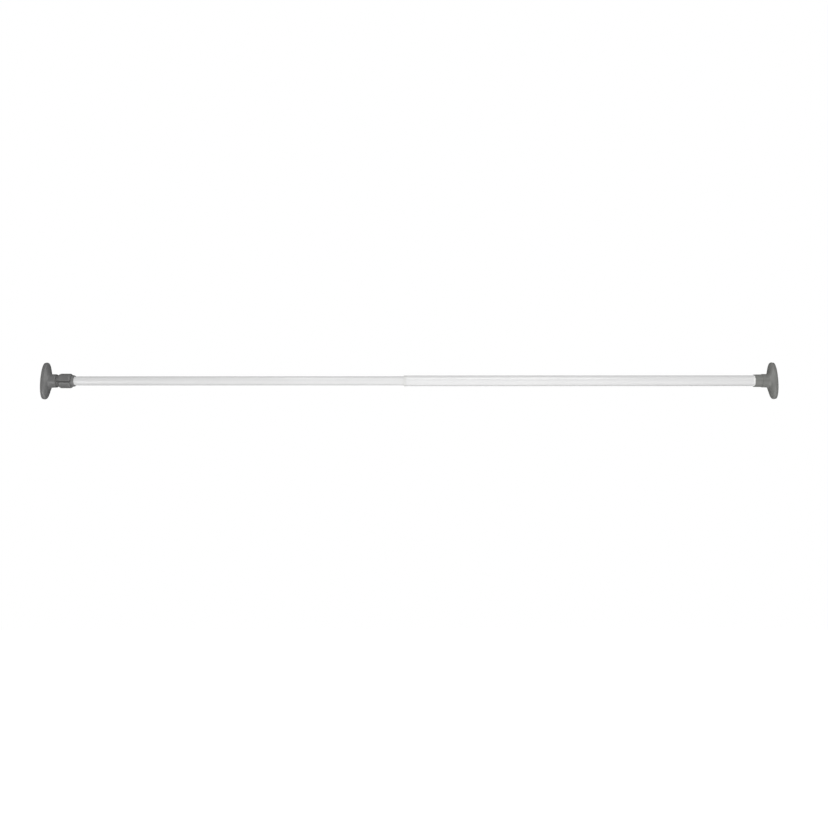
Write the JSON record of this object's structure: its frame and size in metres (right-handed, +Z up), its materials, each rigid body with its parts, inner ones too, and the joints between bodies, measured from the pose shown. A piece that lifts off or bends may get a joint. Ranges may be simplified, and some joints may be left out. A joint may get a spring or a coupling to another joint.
{
  "type": "telescopic closet rod",
  "caption": "Telescopic tension rod for a closet: white tubes that slide and twist to lock, grey oval wall pads, and a lobed grip that jacks one pad out.",
  "frame": {"origin": "centre of the fixed pad's wall face, on the rod's axis", "axes": "+X out of the fixed pad's wall face into the wall, along the rod; +Z up, along the pads' long axis; -Y towards the room. The rod runs along -X to the adjuster pad's wall face at X = -2.0 m."},
  "size_m": [2, 0.052, 0.103],
  "materials": {
    "grey_plastic": "satin moulded plastic with a fine eggshell texture",
    "dark_plastic": "satin moulded plastic",
    "grey_rubber": "matt soft rubber",
    "white_enamel": "gloss white enamel on steel tube",
    "white_nylon": "smooth white nylon",
    "acetal": "natural acetal, waxy",
    "zinc_steel": "bright zinc-plated steel"
  },
  "bodies": {
    "fixed_pad": {"fixed_pad_shell": "grey_plastic", "fixed_pad_rubber": "grey_rubber"},
    "thick_tube": {"outer_tube": "white_enamel", "tube_socket": "dark_plastic", "socket_liner": "white_nylon", "socket_plug": "dark_plastic", "mouth_bush": "white_nylon", "fixed_pad_screw": "zinc_steel", "fixed_pad_washer": "zinc_steel"},
    "lock_slider": {"lock_sleeve": "acetal"},
    "lock_cone": {"lock_cone_nut": "white_nylon"},
    "thin_tube": {"inner_tube": "white_enamel", "lock_plug": "dark_plastic", "lock_stud": "zinc_steel", "lock_end_nut": "zinc_steel", "tube_collar": "dark_plastic", "tube_plug": "dark_plastic", "thrust_washer": "acetal"},
    "grip": {"grip_shell": "grey_plastic", "grip_end_cap": "dark_plastic", "jack_nut": "acetal"},
    "adjuster_pad": {"adjuster_pad_shell": "grey_plastic", "adjuster_pad_rubber": "grey_rubber", "adjuster_pad_screw": "zinc_steel", "adjuster_pad_washer": "zinc_steel", "jack_screw": "zinc_steel"}
  },
  "joints": [
    {"name": "fixed_pad_swivel", "type": "hinge", "parent": "fixed_pad", "child": "thick_tube", "pos_m": [-0.03, 0, 0], "axis": [1, 0, 0], "continuous": true},
    {"name": "telescope", "type": "slide", "parent": "thick_tube", "child": "lock_slider", "axis": [1, 0, 0], "range_m": [0, 0.9]},
    {"name": "twist_lock", "type": "hinge", "parent": "lock_slider", "child": "thin_tube", "pos_m": [-0.98, 0, 0], "axis": [1, 0, 0], "range_deg": [0, 360]},
    {"name": "lock_cone_travel", "type": "slide", "parent": "lock_slider", "child": "lock_cone", "axis": [-1, 0, 0], "range_m": [0, 0.002]},
    {"name": "grip_turn", "type": "hinge", "parent": "thin_tube", "child": "grip", "pos_m": [-1.94, 0, 0], "axis": [1, 0, 0], "range_deg": [0, 1800]},
    {"name": "jack_travel", "type": "slide", "parent": "thin_tube", "child": "adjuster_pad", "axis": [-1, 0, 0], "range_m": [0, 0.02]}
  ],
  "couplings": [
    {"joint": "lock_cone_travel", "follows": "twist_lock", "m_per_rad": 0.00031831},
    {"joint": "grip_turn", "follows": "jack_travel", "rad_per_m": 1570.8}
  ]
}
